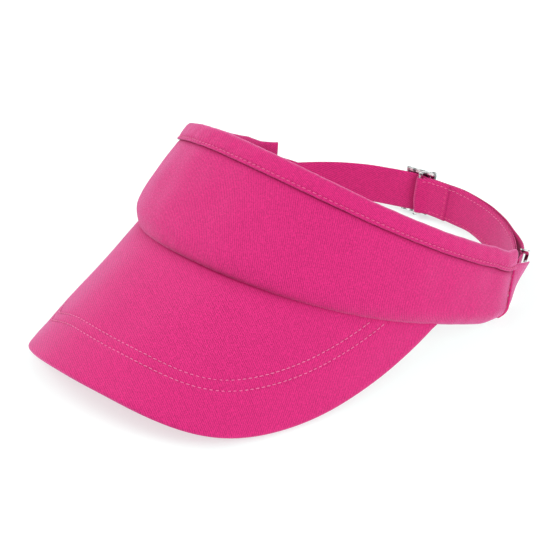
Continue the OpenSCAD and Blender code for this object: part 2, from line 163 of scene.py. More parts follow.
def seam_point(t):
    """Point of the seam between band and brim."""
    return band_point(t, low_h(t), 0)


# The brim laid flat: distance across it along its arch, against the seam's angle
ARCH_T = np.linspace(-BRIM_CORNER, BRIM_CORNER, 617)
ARCH_SEAM = seam_point(ARCH_T)
_steps = np.diff(np.stack([ARCH_SEAM[:, 0], ARCH_SEAM @ BRIM_UP], -1), axis=0)
ARCH_ACROSS = np.concatenate([[0], np.cumsum(np.hypot(_steps[:, 0], _steps[:, 1]))])
ARCH_ACROSS -= ARCH_ACROSS[-1] / 2
ARCH_ALONG = ARCH_SEAM @ BRIM_DIR
CORNER = seam_point(BRIM_CORNER)


def edge_along(t):
    """Distance to the brim's edge, in the direction of its straight lines, at seam angle t."""
    x = np.minimum(1, np.abs(seam_point(t)[..., 0]) / CORNER[0])
    crown = BRIM_CROWN * (1 - x * x)
    return CORNER @ BRIM_DIR + BRIM_LENGTH * (1 - x ** BRIM_SIDE_POWER) ** (1 / BRIM_FRONT_POWER) + crown


def edge_angle(u):
    """Seam angle for a share of the brim's edge, closer together near the corners."""
    return BRIM_CORNER * np.sign(u) * (1 - np.maximum(0, 1 - np.abs(u)) ** 2.2)


def even_edge(u):
    """Even brim edge laid flat, at a share u of the way from the middle to a corner."""
    t = edge_angle(np.asarray(u, float))
    return np.stack([np.interp(t, ARCH_T, ARCH_ACROSS), edge_along(t)], -1)


def outward(curve, u):
    """Unit direction out of the brim along one of its edge curves."""
    step = 0.004
    d = curve(np.clip(u + step, -1, 1)) - curve(np.clip(u - step, -1, 1))
    d /= np.linalg.norm(d, axis=-1, keepdims=True)
    return np.stack([-d[..., 1], d[..., 0]], -1)


def flat_edge(u):
    """Brim edge laid flat, with this one's small unevenness."""
    u = np.asarray(u, float)
    extra = 0.8 * bump_at(u, 0.14, 0.1) + 0.9 * bump_at(u, 0.58, 0.16) + 1.7 * bump_at(u, -0.32, 0.07)
    return even_edge(u) + extra[..., None] * outward(even_edge, u)


def brim_point(flat, up):
    """Point of the brim from its place laid flat (across, along) and a height above its top face."""
    flat = np.asarray(flat, float)
    across, along = flat[..., 0], flat[..., 1]
    x = np.interp(across, ARCH_ACROSS, ARCH_SEAM[:, 0])
    rise = np.interp(across, ARCH_ACROSS, ARCH_SEAM @ BRIM_UP)
    slope_x = np.interp(across, ARCH_ACROSS, np.gradient(ARCH_SEAM[:, 0], ARCH_ACROSS))
    slope_up = np.interp(across, ARCH_ACROSS, np.gradient(ARCH_SEAM @ BRIM_UP, ARCH_ACROSS))
    up = np.broadcast_to(np.asarray(up, float), across.shape)
    side = np.array([1.0, 0, 0])
    base = x[..., None] * side + rise[..., None] * BRIM_UP + along[..., None] * BRIM_DIR
    return base + up[..., None] * (slope_x[..., None] * BRIM_UP - slope_up[..., None] * side)


def edge_inset(u, inset):
    """Flat point square in from the edge."""
    return flat_edge(u) - np.asarray(inset)[..., None] * outward(flat_edge, u)


def strap_point(angle, r, w):
    """Point of the strap cone at an angle from the back, at radius r and height w across the strap."""
    angle, r, w = np.broadcast_arrays(np.asarray(angle, float), np.asarray(r, float), np.asarray(w, float))
    a, rr = np.radians(angle), r + STRAP_FLARE * w
    return STRAP_CENTRE + turn_x(np.stack([rr * np.sin(a), rr * np.cos(a), w], -1), -STRAP_TILT)


def soft_noise(x, y, scale, seed):
    """Slow, smooth unevenness from a few sine waves, about -1 to 1."""
    gen = np.random.default_rng(seed)
    total = 0.0
    for k in range(7):
        fx, fy = gen.normal(0, 1 / scale, 2)
        total = total + np.sin(2 * math.pi * (fx * x + fy * y) + gen.uniform(0, 6.28)) / 3.2
    return total


# ---------------------------------------------------------------- meshes


def new_piece(name, verts, faces, uvs, material, painted_shade=None):
    """Mesh object from points in the drawing's place, with one uv pair (in mm) per face corner."""
    mesh = bpy.data.meshes.new(name)
    mesh.from_pydata(place(verts).tolist(), [], [list(f) for f in faces])
    layer = mesh.uv_layers.new(name="cloth")
    flat = np.asarray(uvs, float).reshape(-1, 2) * MM
    layer.data.foreach_set("uv", flat.ravel())
    # optional painted shade per point, kept as an attribute that darkens the cloth's colour
    if painted_shade is not None:
        attribute = mesh.attributes.new("painted_shade", "FLOAT", "POINT")
        attribute.data.foreach_set("value", np.asarray(painted_shade, float).ravel())
    mesh.polygons.foreach_set("use_smooth", [True] * len(mesh.polygons))
    mesh.materials.append(material)
    mesh.update()
    piece = bpy.data.objects.new(name, mesh)
    bpy.context.scene.collection.objects.link(piece)
    return piece


def swept(name, loops, uvs, material, painted_shade=None):
    """Solid through rings of points, closed at both ends. loops is (n, k, 3) and uvs is (n, k + 1, 2)."""
    n, k = loops.shape[:2]
    faces, corner_uvs = [], []
    for i in range(n - 1):
        a, b = i * k, (i + 1) * k
        ua, ub = uvs[i], uvs[i + 1]
        for j in range(k):
            m = (j + 1) % k
            faces.append((a + j, a + m, b + m, b + j))
            corner_uvs += [ua[j], ua[j + 1], ub[j + 1], ub[j]]
    for end, flip in ((0, True), (n - 1, False)):
        for j in range(k // 2 - 1):
            places = [j, j + 1, k - 2 - j, k - 1 - j]
            if flip:
                places = places[::-1]
            faces.append(tuple(end * k + q for q in places))
            corner_uvs += [uvs[end][q] for q in places]
    return new_piece(name, loops.reshape(-1, 3), faces, corner_uvs, material,
                     None if painted_shade is None else painted_shade.reshape(-1))


def cloth(name, outer, inner, material, painted_shade=None, along=None):
    """Cloth layer between two (n, m, 3) grids, with round edges. Its uvs are real lengths in mm."""
    n, m = outer.shape[:2]
    top = (outer[:, -1] + inner[:, -1]) / 2
    low = (outer[:, 0] + inner[:, 0]) / 2
    thick = np.linalg.norm(outer[:, -1] - inner[:, -1], axis=-1, keepdims=True)
    top += 0.45 * thick * unit(outer[:, -1] - outer[:, -2])
    low += 0.45 * thick * unit(outer[:, 0] - outer[:, 1])
    loops = np.concatenate([outer, top[:, None], inner[:, ::-1], low[:, None]], 1)
    if along is None:
        middle = outer[:, m // 2]
        along = np.concatenate([[0], np.cumsum(np.linalg.norm(np.diff(middle, axis=0), axis=-1))])
    steps = np.linalg.norm(np.diff(outer, axis=1), axis=-1)
    up = np.concatenate([np.zeros((n, 1)), np.cumsum(steps, 1)], 1)
    up -= up[:, m // 2][:, None]
    v = np.concatenate([up, up[:, -1:] + 0.4, up[:, ::-1], up[:, :1] - 0.4, up[:, :1]], 1)
    u = np.repeat(np.asarray(along)[:, None], v.shape[1], 1)
    uvs = np.stack([u, v], -1)
    if painted_shade is not None:
        painted_shade = np.concatenate([painted_shade, painted_shade[:, -1:], painted_shade[:, ::-1], painted_shade[:, :1]], 1)
    return swept(name, loops, uvs, material, painted_shade)


def unit(v):
    """Vectors scaled to length 1."""
    return v / np.maximum(1e-9, np.linalg.norm(v, axis=-1, keepdims=True))


def spaced(path, step):
    """Points of a dense path at an even spacing, with the direction at each."""
    path = np.asarray(path, float)
    lengths = np.concatenate([[0], np.cumsum(np.linalg.norm(np.diff(path, axis=0), axis=-1))])
    count = int(lengths[-1] / step)
    at = (np.arange(count) + 0.5) * lengths[-1] / count
    points = np.stack([np.interp(at, lengths, path[:, k]) for k in range(path.shape[1])], -1)
    ahead = np.stack([np.interp(at + 0.3, lengths, path[:, k]) for k in range(path.shape[1])], -1)
    return points, unit(ahead[:, :3] - points[:, :3] + 1e-9)


def stitches(name, path, normals, pitch, length, radius, material, lift=0.0, slant=0.0):
    """Row of separate stitches along a path, each a bowed bead of thread whose ends sink into the cloth."""
    joined = np.concatenate([path, normals], 1)
    points, along = spaced(joined, pitch)
    up = unit(points[:, 3:])
    side = np.cross(up, along)
    verts, faces, uvs = [], [], []
    rings, sides = 7, 8
    for p, d, nrm, s in zip(points[:, :3], along, up, side):
        d = unit(d + slant * s + 0.05 * rng.normal() * s)
        s = np.cross(nrm, d)
        start = len(verts)
        shift = 0.06 * rng.normal()
        for i in range(rings):
            x = i / (rings - 1) * 2 - 1
            bow = lift + radius * (1.15 * (1 - x ** 4) - 0.75)
            thick = radius * math.sqrt(max(0.08, 1 - (abs(x) ** 5)))
            centre = p + d * (x * length / 2 + shift) + nrm * bow
            for k in range(sides):
                a = 2 * math.pi * k / sides
                verts.append(centre + thick * (math.cos(a) * s + math.sin(a) * nrm))
        for i in range(rings - 1):
            for k in range(sides):
                a, b = start + i * sides + k, start + i * sides + (k + 1) % sides
                faces.append((a, b, b + sides, a + sides))
                x0, x1 = i * length / rings, (i + 1) * length / rings
                uvs += [(x0, k / sides), (x0, (k + 1) / sides), (x1, (k + 1) / sides), (x1, k / sides)]
        faces.append(tuple(start + k for k in range(sides))[::-1])
        faces.append(tuple(start + (rings - 1) * sides + k for k in range(sides)))
        uvs += [(0, 0)] * (2 * sides)
    return new_piece(name, np.array(verts), faces, uvs, material)


# ---------------------------------------------------------------- materials


class Nodes:
    """Short ways to add and link shader nodes."""

    def __init__(self, name):
        self.material = bpy.data.materials.new(name)
        self.material.use_nodes = True
        self.tree = self.material.node_tree
        self.tree.nodes.clear()
        self.out = self.add("ShaderNodeOutputMaterial")
        self.shader = self.add("ShaderNodeBsdfPrincipled")
        self.link(self.shader.outputs["BSDF"], self.out.inputs["Surface"])

    def add(self, kind, **settings):
        node = self.tree.nodes.new(kind)
        for key, value in settings.items():
            setattr(node, key, value)
        return node

    def link(self, source, target):
        self.tree.links.new(source, target)

    def maths(self, operation, a, b=None):
        node = self.add("ShaderNodeMath", operation=operation)
        for socket, value in zip(node.inputs, (a, b)):
            if value is None:
                continue
            if isinstance(value, (int, float)):
                socket.default_value = value
            else:
                self.link(value, socket)
        return node.outputs[0]

    def mix(self, factor, a, b):
        node = self.add("ShaderNodeMix", data_type="RGBA")
        for socket, value in zip((node.inputs[0], node.inputs[6], node.inputs[7]), (factor, a, b)):
            if isinstance(value, (int, float)):
                socket.default_value = value
            elif isinstance(value, tuple):
                socket.default_value = (*value, 1)
            else:
                self.link(value, socket)
        return node.outputs[2]

    def set(self, socket, value):
        """Constant value on one of the shader's sockets."""
        self.shader.inputs[socket].default_value = value

    def cloth_uv(self):
        """The cloth's own lengths, along and across the piece."""
        split = self.add("ShaderNodeSeparateXYZ")
        self.link(self.add("ShaderNodeUVMap", uv_map="cloth").outputs[0], split.inputs[0])
        return split.outputs[0], split.outputs[1]

    def relief(self, height, strength, distance):
        """Fine surface relief."""
        node = self.add("ShaderNodeBump")
        node.inputs["Strength"].default_value = strength
        node.inputs["Distance"].default_value = distance
        self.link(height, node.inputs["Height"])
        self.link(node.outputs[0], self.shader.inputs["Normal"])

    def noise(self, vector, scale, detail=2.0, rough=0.5):
        node = self.add("ShaderNodeTexNoise")
        node.inputs["Scale"].default_value = scale
        node.inputs["Detail"].default_value = detail
        node.inputs["Roughness"].default_value = rough
        self.link(vector, node.inputs["Vector"])
        return node.outputs[0]


def drill_cloth(name, base, rib_angle=27.0, rib_pitch=0.98, sheen=0.6):
    """Cotton drill: twill ribs broken by crossing threads, slubs and slow shade changes, with painted shade in
    creases, seams and stitch grooves, where the sheen is turned down too.
    """
    n = Nodes(name)
    u, v = n.cloth_uv()
    where = n.add("ShaderNodeTexCoord").outputs["Object"]
    wander = n.maths("MULTIPLY", n.maths("SUBTRACT", n.noise(where, 480, 3, 0.6), 0.5), 4.2)
    a = math.radians(rib_angle)
    wave = 2 * math.pi / (rib_pitch * MM)
    along, across = n.maths("MULTIPLY", u, wave * math.cos(a)), n.maths("MULTIPLY", v, wave * math.sin(a))
    rib = n.maths("SINE", n.maths("ADD", n.maths("ADD", along, across), wander))
    cross_phase = n.maths("SUBTRACT", n.maths("MULTIPLY", v, wave * 1.45), n.maths("MULTIPLY", u, wave * 0.6))
    cross = n.maths("SINE", n.maths("ADD", cross_phase, wander))
    weave = n.maths("ADD", n.maths("MULTIPLY", rib, 0.36), n.maths("MULTIPLY", cross, 0.2))
    weave = n.maths("ADD", weave, 0.5)
    fibres = n.noise(where, 2600, 3, 0.7)
    slubs = n.noise(where, 1250, 2, 0.7)
    slow = n.noise(where, 28, 3, 0.55)
    dark = tuple(c * 0.5 for c in base)
    light = tuple(min(1, c * 1.3 + 0.006) for c in base)
    paler = tuple(min(1, c * 1.08 + 0.006) for c in base)
    # colour of the painted shade: the pink darkened as in shadow
    painted_shade_colour = (base[0] * 0.5, base[1] * 0.3, base[2] * 0.42)
    thick_spots = n.maths("MAXIMUM", n.maths("SUBTRACT", slubs, 0.46), 0.0)
    thin_spots = n.maths("MAXIMUM", n.maths("SUBTRACT", 0.46, slubs), 0.0)
    # painted shade per point, from the piece's attribute
    painted_shade = n.maths("MINIMUM", n.add("ShaderNodeAttribute", attribute_name="painted_shade").outputs["Fac"], 1.0)
    colour = n.mix(weave, dark, light)
    colour = n.mix(n.maths("MULTIPLY", thick_spots, 3.4), colour, light)
    colour = n.mix(n.maths("MULTIPLY", thin_spots, 2.6), colour, dark)
    colour = n.mix(n.maths("MULTIPLY", slow, 0.35), colour, paler)
    colour = n.mix(painted_shade, colour, painted_shade_colour)
    n.link(colour, n.shader.inputs["Base Color"])
    n.link(n.maths("ADD", n.maths("MULTIPLY", weave, 0.12), 0.78), n.shader.inputs["Roughness"])
    n.set("Specular IOR Level", 0.12)
    # less sheen where shade is painted
    n.link(n.maths("MULTIPLY", n.maths("SUBTRACT", 1.0, painted_shade), sheen), n.shader.inputs["Sheen Weight"])
    n.set("Sheen Roughness", 0.45)
    n.set("Sheen Tint", (1.0, 0.56, 0.88, 1))
    n.relief(n.maths("ADD", weave, n.maths("MULTIPLY", fibres, 0.5)), 0.55, 0.00022)
    return n.material


def thread_cloth(name, base):
    """Twisted polyester thread with a slight gloss."""
    n = Nodes(name)
    u, v = n.cloth_uv()
    ply = n.maths("ADD", n.maths("MULTIPLY", u, 2 * math.pi / (0.42 * MM)),
                  n.maths("MULTIPLY", v, 2 * math.pi / MM * 2))
    twist = n.maths("ADD", n.maths("MULTIPLY", n.maths("SINE", ply), 0.5), 0.5)
    dark = tuple(c * 0.7 for c in base)
    n.link(n.mix(twist, dark, base), n.shader.inputs["Base Color"])
    n.set("Roughness", 0.5)
    n.set("Sheen Weight", 0.3)
    n.relief(twist, 0.5, 0.00008)
    return n.material


def nickel_plate(name):
    """Stamped, polished nickel: painted reflections as bright and dark patches in its colour, fine handling
    scratches and duller worn patches.
    """
    n = Nodes(name)
    where = n.add("ShaderNodeTexCoord").outputs["Object"]
    patches = n.noise(where, 220, 3)
    stretch = n.add("ShaderNodeMapping")
    stretch.inputs["Scale"].default_value = (1.0, 1.0, 14.0)
    n.link(where, stretch.inputs["Vector"])
    scratches = n.noise(stretch.outputs[0], 900, 4, 0.7)
    # painted reflection: colour goes from near black to near white in patches, as dark and bright surroundings
    # mirrored in the metal
    painted_reflection = n.maths("MULTIPLY", n.maths("SUBTRACT", n.noise(where, 420, 1), 0.42), 7.0)
    painted_reflection = n.maths("MINIMUM", n.maths("MAXIMUM", painted_reflection, 0.0), 1.0)
    n.link(n.mix(painted_reflection, (0.16, 0.16, 0.17), (0.95, 0.95, 0.94)), n.shader.inputs["Base Color"])
    n.set("Metallic", 1.0)
    n.link(n.maths("ADD", n.maths("MULTIPLY", patches, 0.12), 0.04), n.shader.inputs["Roughness"])
    n.relief(scratches, 0.12, 0.00005)
    return n.material


def plain_insert(name, base, grain):
    """Moulded board that lies hidden between the covers."""
    n = Nodes(name)
    where = n.add("ShaderNodeTexCoord").outputs["Object"]
    speckle = n.noise(where, grain, 4, 0.6)
    n.link(n.mix(speckle, tuple(c * 0.85 for c in base), base), n.shader.inputs["Base Color"])
    n.set("Roughness", 0.6)
    n.relief(speckle, 0.3, 0.0001)
    return n.material


PINK = (0.525, 0.0122, 0.143)
# the same pink darkened as painted shade, for the lining and sweatband inside the band
SHADED_PINK = (0.44, 0.0085, 0.100)
drill = drill_cloth("drill", PINK)
drill_brim = drill_cloth("drill_brim", PINK, rib_angle=-62)
drill_bias = drill_cloth("drill_bias", PINK, rib_angle=62, rib_pitch=0.9)
drill_strap = drill_cloth("drill_strap", PINK, rib_angle=70)
drill_shaded_inside = drill_cloth("drill_shaded_inside", SHADED_PINK, rib_angle=-27)
thread_light = thread_cloth("thread_light", (0.8, 0.12, 0.34))
thread_lip = thread_cloth("thread_lip", (0.72, 0.06, 0.25))
thread_pink = thread_cloth("thread_pink", (0.72, 0.03, 0.2))
thread_dark = thread_cloth("thread_dark", (0.5, 0.02, 0.13))
nickel = nickel_plate("nickel")
board_plastic = plain_insert("board_plastic", (0.82, 0.82, 0.8), 400)


def attach(piece, body, slot, *nodes):
    """Puts a piece on its body, in place of the CAD nodes named. The slot argument is not used."""
    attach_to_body(piece, body)
    if nodes:
        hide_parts(*nodes)
    return piece


# ---------------------------------------------------------------- band


def leaned(t, share):
    """Band angle with its ends cut on a slope, further forward towards the bottom."""
    return t - np.sign(t) * 3.4 * ramp(np.abs(t), 92, BAND_END) * (1 - np.clip(share, 0, 1)) ** 1.3


def band_arc(t, off=0.0):
    """Length along the band from its middle, in mm, for the weave."""
    base = np.linspace(-BAND_END - 4, BAND_END + 4, 900)
    pts = band_point(base, (top_h(base) + low_h(base)) / 2, off)
    s = np.concatenate([[0], np.cumsum(np.linalg.norm(np.diff(pts, axis=0), axis=-1))])
    return np.interp(t, base, s - np.interp(0, base, s))


def panel_relief(t, h):
    """How far the panel's cloth stands off its smooth shape."""
    arc = band_arc(t)
    below = top_h(t) - h
    share = (h - low_h(t)) / (top_h(t) - low_h(t))
    slow = 0.35 * soft_noise(arc, h, 70, 3) * np.sin(math.pi * np.clip(share, 0, 1))
    press = -0.35 * bump_at(below, BINDING_W - 0.2, 1.2)
    seam_pull = 0.12 * soft_noise(arc, h * 0.25, 9, 5) * bump_at(h - low_h(t), 2.5, 4)
    return slow + press + seam_pull


def panel():
    """Drill panel, with finer rows near the seam and under the binding."""
    t = np.linspace(-BAND_END, BAND_END, 321)[:, None]
    share = np.concatenate([np.linspace(0, 0.12, 14)[:-1], np.linspace(0.12, 0.72, 26)[:-1],
                            np.linspace(0.72, 1, 26)])
    t = leaned(t, share[None, :])
    h = low_h(t) + (top_h(t) - 1.2 - low_h(t)) * share[None, :]
    relief = panel_relief(t, h)
    tuck = -0.35 * (1 - ramp(h - low_h(t), 0, 1.3))
    outer = band_point(t, h, relief + tuck)
    inner = band_point(t, h, relief + tuck - PANEL_T)
    below = top_h(t) - h
    # painted shade: a dark line under the binding's lip and a darker band along the seam to the brim, strongest
    # near the front
    painted_shade = 0.75 * bump_at(below, BINDING_W + 0.1, 0.55) + 0.3 * bump_at(below, BINDING_W + 0.8, 1.4)
    painted_shade = painted_shade + (0.08 + 0.42 * bump_at(t, 12, 28)) * bump_at(h - low_h(t), 0.0, 2.2)
    piece = cloth("panel_cover", outer, inner, drill, painted_shade + 0 * t, band_arc(t[:, -1]))
    attach(piece, "band", "drill", "front_panel")


def panel_lining():
    """Lining sewn behind the panel."""
    t = np.linspace(-103, 103, 241)[:, None]
    share = np.linspace(0, 1, 24)[None, :]
    h = low_h(t) + 1.5 + (top_h(t) - 4.0 - low_h(t)) * share
    off = -PANEL_T - LINING_GAP + 0.1 * soft_noise(band_arc(t), h, 30, 11)
    outer, inner = band_point(t, h, off), band_point(t, h, off - LINING_T)
    piece = cloth("panel_lining_cloth", outer, inner, drill_shaded_inside, None, band_arc(t[:, 0]))
    attach(piece, "band", "drill_inner", "panel_lining")


# Profile of the binding: how far each point lies below the top edge and out from the panel's face
LIP_UP = np.array([0, 0.05, 0.35, 0.9, 1.5, 1.9, 2.3, 3.0, 4.2])
DOWN_FRONT = np.concatenate([BINDING_W - LIP_UP, [4.4, 3.0, 1.8, 0.9, 0.35, 0.08]])
OUT_FRONT = np.array([0.15, 0.75, 1.15, 1.3, 1.05, 0.72, 0.98, 1.22, 1.3, 1.25, 1.15, 1.0, 0.75, 0.35, -0.2])
DOWN_BACK = np.array([-0.06, -0.06, 0.2, 0.7, 1.8, 4.0, 6.5, 8.0, 8.3, 9.0, 9.6, 9.9])
OUT_BACK = np.array([-0.75, -1.35, -1.95, -2.3, -2.5, -2.6, -2.6, -2.3, -2.35, -2.65, -2.6, -2.3])


def binding():
    """Bias tape folded over the top edge; its stitched lower lip rolls under and leaves a dark line, partly from
    its shape and partly painted shade.
    """
    t = np.linspace(-BAND_END, BAND_END, 521)[:, None]
    arc = band_arc(t)
    down = np.concatenate([DOWN_FRONT, DOWN_BACK])[None, :]
    out = np.concatenate([OUT_FRONT, OUT_BACK])[None, :]
    under_down = np.maximum(down - 0.02, 0.9)
    under_out = np.where(np.arange(down.size) < DOWN_FRONT.size, 0.12, -1.75)[None, :]
    pucker = np.cos(2 * math.pi * arc / STITCH_PITCH)
    out = out - 0.10 * pucker * bump_at(down, BINDING_W - 1.9, 1.6) * (out > 0)
    out = out + 0.16 * soft_noise(arc, down, 16, 21) * bump_at(down, 5, 3.4) * (out > 0)
    down = down + 0.14 * soft_noise(arc, 0 * arc, 22, 23) + 0.05 * pucker * bump_at(down, BINDING_W, 1)
    hang = 2.2 * ramp(-t, 103, BAND_END) * np.clip(down / 8, 0, 1)
    outer = band_point(t - hang, top_h(t) - down, out)
    inner = band_point(t, top_h(t) - under_down - 0 * t, under_out + 0 * t)
    # painted shade in the stitch groove and along the lip's lower edge, on the outer face only
    painted_shade = 0.5 * bump_at(down, BINDING_W - 1.9, 0.35) * (0.6 + 0.4 * pucker)
    painted_shade = painted_shade + 0.5 * bump_at(down, BINDING_W, 0.3)
    piece = cloth("top_binding_tape", outer, inner, drill_bias, painted_shade * (out > 0), arc[:, 0])
    attach(piece, "band", "drill", "top_binding")
    path_t = np.linspace(-BAND_END + 1, BAND_END - 1, 2400)
    path = band_point(path_t, top_h(path_t) - BINDING_W + 1.75, 0.86)
    normal = band_point(path_t, top_h(path_t) - BINDING_W + 1.75, 2.86) - path
    row = stitches("binding_thread", path, normal, STITCH_PITCH, 2.1, 0.24, thread_lip, 0.02, 0.1)
    attach(row, "band", "thread_light", "binding_stitches")


def sweatband_in(t):
    """How far inside the panel the sweatband's outer face lies: it moves in round the strap's ends."""
    return 2.4 + 3.8 * np.clip((np.abs(t) - 62) / 22, 0, 1) ** 2


def sweatband():
    """Padded sweatband, sewn down along both edges."""
    limit = BAND_END - 2
    t = np.linspace(-limit, limit, 261)[:, None]
    share = np.linspace(0, 1, 27)[None, :]
    arc = band_arc(t)
    t = leaned(t, share)
    h = low_h(t) + SWEATBAND_UP + SWEATBAND_W * share
    plump = 0.55 * (np.sin(math.pi * share) ** 0.5) + 0.15 * soft_noise(arc, h, 18, 31)
    row = 0.45 * bump_at(share * SWEATBAND_W, 3, 0.9) + 0.3 * bump_at(share * SWEATBAND_W, 27.5, 0.9)
    outer = band_point(t, h, -sweatband_in(t))
    inner = band_point(t, h, -sweatband_in(t) - SWEATBAND_T - plump + row)
    # painted shade along the lower stitch row
    painted_shade = 0.35 * bump_at(share * SWEATBAND_W, 3, 0.6) + 0 * t
    piece = cloth("sweatband_pad", outer, inner, drill_shaded_inside, painted_shade, arc[:, 0])
    attach(piece, "band", "drill_inner", "sweatband")
    path_t = np.linspace(-limit + 2, limit - 2, 2000)
    for name, up, nodes in (("sweatband_thread_low", 3.0, ("sweatband_stitches",)),
                            ("sweatband_thread_top", 27.5, ())):
        h = low_h(path_t) + SWEATBAND_UP + up
        depth = -sweatband_in(path_t) - SWEATBAND_T - 0.12
        path = band_point(path_t, h, depth)
        normal = band_point(path_t, h, depth - 2) - path
        attach(stitches(name, path, normal, 3.2, 2.3, 0.24, thread_dark), "band", "thread_dark", *nodes)


# ---------------------------------------------------------------- brim


def brim_grid(rows, edge_rows=8, tuck=-1.4):
    """Flat points from the seam to near the edge, and then square in from the edge."""
    u = np.linspace(-0.999, 0.999, 361)
    t = edge_angle(u)
    seam = np.stack([np.interp(t, ARCH_T, ARCH_ACROSS), np.interp(t, ARCH_T, ARCH_ALONG)], -1)
    reach = edge_along(t) - seam[:, 1]
    inset_max = np.minimum(1.6, reach * 0.4)
    rim_in = inset_max[:, None] * (1 - np.sin(np.linspace(0, math.pi / 2, edge_rows)))[None, :]
    rim = edge_inset(u[:, None] + 0 * rim_in, rim_in)
    start = seam + [0, tuck]
    share = np.linspace(0, 1, rows)[None, :, None]
    body = start[:, None] * (1 - share) + rim[:, :1] * share
    return np.concatenate([body, rim[:, 1:]], 1), rim_in, inset_max


def row_inset(u, row):
    """Distance of a stitch row from the edge: the rows run nearer to it on the wearer's right."""
    return row - 7.5 * ramp(-u, 0.12, 0.4)


def from_line(flat, line):
    """Distance of flat points from a line."""
    out = np.empty(flat.shape[:2])
    for i in range(flat.shape[0]):
        d = flat[i][:, None] - line[None]
        out[i] = np.sqrt((d ** 2).sum(-1).min(1))
    return out


def brim():
    """Two covers with rolled edges and sunk stitch rows, the board between them, and their threads."""
    rows = 150
    flat, rim_in, inset_max = brim_grid(rows)
    edge_u = np.linspace(-1, 1, 500)
    inset = from_line(flat, flat_edge(edge_u))
    row_off = [from_line(flat, edge_inset(edge_u * 0.99, row_inset(edge_u, row))) for row in STITCH_ROWS_IN]
    n, m = flat.shape[:2]
    across, along = flat[..., 0], flat[..., 1]
    round_off = np.zeros((n, m))
    share = rim_in / np.maximum(1e-6, inset_max[:, None])
    round_off[:, rows - 1:] = BRIM_T / 2 * (1 - np.sqrt(np.maximum(0, 1 - (1 - share) ** 2)))
    groove = sum(0.32 * bump_at(off, 0, 0.75) for off in row_off)
    pucker = 0.1 * np.cos(2 * math.pi * across / STITCH_PITCH) * sum(bump_at(off, 0, 1.6) for off in row_off)
    slow = 0.25 * soft_noise(across, along, 60, 41)
    edge_roll = 0.25 * bump_at(inset, 3.2, 2.2)
    top = slow - groove - pucker + edge_roll - round_off
    ahead = along - np.interp(across, ARCH_ACROSS, ARCH_ALONG)
    seam_dip = -0.3 * (1 - ramp(ahead, -0.6, 2.2))
    under = -BRIM_T - (0.6 * slow - groove * 0.8 - round_off)
    # painted shade in the stitch rows, and a band of painted shade along the seam to the band, strongest near the
    # middle
    painted_shade = sum(0.25 * bump_at(off, 0, 0.35) for off in row_off)
    seam_shade = 0.1 + 0.6 * bump_at(across, 20, 50)
    past_seam = np.maximum(ahead, 0)
    painted_shade = painted_shade + seam_shade * (bump_at(past_seam, 0, 0.9) + 0.6 * bump_at(past_seam, 0, 4.0))
    for name, sign, face, slot_name, node in (("brim_top", 1, top + seam_dip, "drill", "brim_top_cover"),
                                              ("brim_under", -1, under, "drill_inner", "brim_under_cover")):
        hidden = np.where(np.arange(m)[None, :] < rows - 1, face - sign * 0.7, -BRIM_T / 2 + 0 * face)
        hidden = np.where(sign * (face - hidden) < 0.02, face - sign * 0.02, hidden)
        outer, inner = brim_point(flat, face), brim_point(flat, hidden)
        loops = np.concatenate([outer, inner[:, ::-1]], 1)
        grid_uv = np.stack([across, along], -1)
        uvs = np.concatenate([grid_uv, grid_uv[:, ::-1], grid_uv[:, :1]], 1)
        shade = np.concatenate([painted_shade, painted_shade[:, ::-1]], 1)
        if sign < 0:
            loops, uvs, shade = loops[::-1], uvs[::-1], shade[::-1] * 0.8
        attach(swept(name, loops, uvs, drill_brim, shade), "band", slot_name, node)
    board()
    row_names = (("brim_thread_outer", "brim_stitches_outer"), ("brim_thread_inner", "brim_stitches_inner"))
    for row, (name, node) in zip(STITCH_ROWS_IN, row_names):
        brim_row(row, name, node)
    path_t = np.linspace(-BRIM_CORNER + 1, BRIM_CORNER - 1, 1500)
    path = band_point(path_t, low_h(path_t) + 0.2, -PANEL_T - 0.5)
    normal = band_point(path_t, low_h(path_t) - 2, -PANEL_T - 0.5) - path
    row = stitches("brim_seam_thread", path, normal, 3.4, 2.4, 0.25, thread_dark)
    attach(row, "band", "thread_dark", "brim_seam_stitches")


def board():
    """Board of the brim, set in from the edge so that the covers close round it."""
    front = edge_inset(np.linspace(-0.93, 0.93, 181), np.full(181, BOARD_IN))
    back = np.stack([front[:, 0], np.interp(front[:, 0], ARCH_ACROSS, ARCH_ALONG) + 1.5], -1)
    front[:, 1] = np.maximum(front[:, 1], back[:, 1] + 0.5)
    share = np.linspace(0, 1, 60)[None, :, None]
    sheet = back[:, None] * (1 - share) + front[:, None] * share
    lift = 0.6 * np.interp(sheet[..., 1] - back[:, None, 1], [0, 4], [-1, 0])
    top, under = brim_point(sheet, -1.0 + lift), brim_point(sheet, -2.0 + lift)
    attach(cloth("brim_board_plate", top, under, board_plastic), "band", "board", "brim_board")


def brim_row(row, name, node):
    """One row of stitches round the brim, seen on both covers."""
    u = np.linspace(-0.999, 0.999, 4000)
    path = edge_inset(u, row_inset(u, row))
    seam_along = np.interp(path[:, 0], ARCH_ACROSS, ARCH_ALONG)
    path = path[(path[:, 1] > seam_along + 2) & (np.abs(path[:, 0]) < ARCH_ACROSS[-1] - 2)]
    for side, depth, ending, nodes in ((1, -0.2, "", (node,)), (-1, -2.85, "_under", ())):
        pts = brim_point(path, depth)
        nrm = (brim_point(path, depth + 1) - pts) * side
        piece = stitches(name + ending, pts, nrm, STITCH_PITCH, 2.1, 0.26, thread_light)
        attach(piece, "band", "thread_light", *nodes)


# ---------------------------------------------------------------- strap and tab


